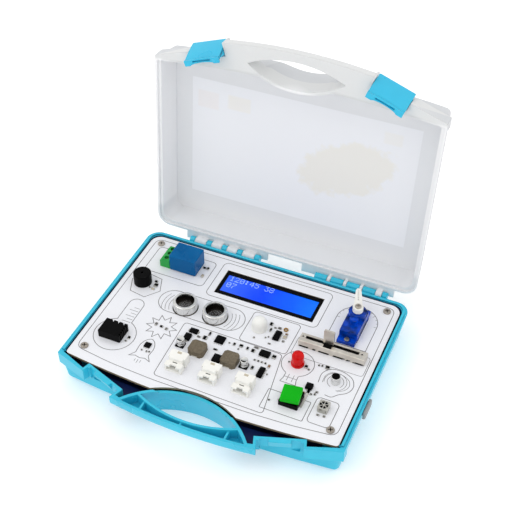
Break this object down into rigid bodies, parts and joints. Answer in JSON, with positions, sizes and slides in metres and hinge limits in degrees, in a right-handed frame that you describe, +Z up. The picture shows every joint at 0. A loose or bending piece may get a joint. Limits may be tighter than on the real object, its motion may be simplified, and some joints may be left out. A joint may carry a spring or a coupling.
{
  "type": "microcontroller learning kit",
  "caption": "Carry case whose base holds a white circuit panel with a display, sensors, servo, relay and controls under a hinged frosted lid with snap latches.",
  "frame": {"origin": "centre of the case base's bottom face", "axes": "+Z up, +X to the right seen from the grip, +Y from the grip to the hinge"},
  "size_m": [0.1906, 0.1925, 0.1705],
  "materials": {
    "case_cyan": "semi-gloss moulded plastic",
    "lid_clear": "frosted translucent plastic",
    "label_pale": "pale printed film",
    "panel_white": "white solder mask with printed lines",
    "steel": "plated steel",
    "black_plastic": "black moulded plastic",
    "lcd_blue": "lit blue display glass",
    "board_green": "green circuit board",
    "can_silver": "drawn aluminium",
    "servo_blue": "clear blue plastic",
    "gear_white": "white nylon",
    "relay_blue": "blue moulded plastic",
    "terminal_green": "green moulded plastic",
    "white_plastic": "white moulded plastic",
    "dome_white": "milky moulded lens",
    "led_red": "clear red resin",
    "button_green": "green moulded plastic",
    "copper": "bare copper alloy",
    "ferrite_grey": "ferrite and resin",
    "felt_black": "black felt",
    "cap_grey": "light grey rubber",
    "resistor_mixed": "ceramic chips"
  },
  "bodies": {
    "base": {"base_shell": "case_cyan", "panel_board": "panel_white", "panel_screws": "steel", "usb_socket": "steel", "usb_dust_cap": "cap_grey", "lcd_bezel": "black_plastic", "lcd_glass": "lcd_blue", "lcd_backlight": "white_plastic", "lcd_board": "board_green", "board_supports": "black_plastic", "sonar_board": "board_green", "sonar_cans": "can_silver", "sonar_meshes": "steel", "sonar_cones": "can_silver", "servo_case_bottom": "servo_blue", "servo_case_middle": "servo_blue", "servo_case_top": "servo_blue", "servo_motor": "steel", "servo_fixings": "steel", "pot_frame": "steel", "pot_track": "black_plastic", "switch_base": "black_plastic", "relay_case": "relay_blue", "relay_base": "black_plastic", "relay_works": "copper", "terminal_block": "terminal_green", "terminal_screws": "steel", "buzzer_body": "black_plastic", "buzzer_disc": "copper", "climate_case": "black_plastic", "climate_board": "board_green", "motion_lens": "dome_white", "motion_sensor": "can_silver", "led_lens": "led_red", "led_frame": "steel", "microphone_can": "can_silver", "microphone_felt": "felt_black", "infrared_shield": "steel", "infrared_receiver": "black_plastic", "cable_connectors": "white_plastic", "connector_pins": "steel", "inductors": "ferrite_grey", "capacitor_bases": "black_plastic", "capacitor_cans": "can_silver", "chip_bodies": "black_plastic", "part_legs": "steel", "small_parts": "resistor_mixed"},
    "lid": {"lid_shell": "lid_clear", "lid_label": "label_pale"},
    "latch_right_body": {"latch_right": "case_cyan"},
    "latch_left_body": {"latch_left": "case_cyan"},
    "slider": {"pot_carriage": "black_plastic", "pot_lever": "steel"},
    "button": {"button_plunger": "black_plastic", "button_cap": "button_green"},
    "servo_output": {"servo_output_gear": "gear_white", "servo_horn": "white_plastic", "horn_screw": "steel"},
    "servo_idler": {"servo_idler_gear": "gear_white"},
    "servo_drive": {"servo_pinion": "gear_white"}
  },
  "joints": [
    {"name": "lid_hinge", "type": "hinge", "parent": "base", "child": "lid", "pos_m": [0, 0.069, 0.019], "axis": [1, 0, 0], "range_deg": [0, 96.4]},
    {"name": "latch_right_hinge", "type": "hinge", "parent": "lid", "child": "latch_right_body", "pos_m": [0.05889, 0.09284, 0.15799], "axis": [-0.9455, 0.0363, 0.3235], "range_deg": [0, 100]},
    {"name": "latch_left_hinge", "type": "hinge", "parent": "lid", "child": "latch_left_body", "pos_m": [-0.05889, 0.09284, 0.15799], "axis": [-0.9455, -0.0363, -0.3235], "range_deg": [0, 100]},
    {"name": "pot_slide", "type": "slide", "parent": "base", "child": "slider", "axis": [1, 0, 0], "range_m": [-0.0125, 0.0172]},
    {"name": "button_press", "type": "slide", "parent": "base", "child": "button", "axis": [0, 0, -1], "range_m": [0, 0.0005], "stiffness_N_per_m": 300, "springref_m": -0.0005},
    {"name": "servo_turn", "type": "hinge", "parent": "base", "child": "servo_output", "pos_m": [0.0669, 0.0364, 0.03], "axis": [0, 0, 1], "range_deg": [-90, 90]},
    {"name": "servo_idler_turn", "type": "hinge", "parent": "base", "child": "servo_idler", "pos_m": [0.0669, 0.02993, 0.026], "axis": [0, 0, 1], "range_deg": [-166.2, 166.2]},
    {"name": "servo_pinion_turn", "type": "hinge", "parent": "base", "child": "servo_drive", "pos_m": [0.0669, 0.02608, 0.026], "axis": [0, 0, 1], "range_deg": [-240, 240]}
  ],
  "couplings": [
    {"joint": "servo_idler_turn", "follows": "servo_turn", "ratio": -1.8462},
    {"joint": "servo_pinion_turn", "follows": "servo_turn", "ratio": 2.6667}
  ]
}
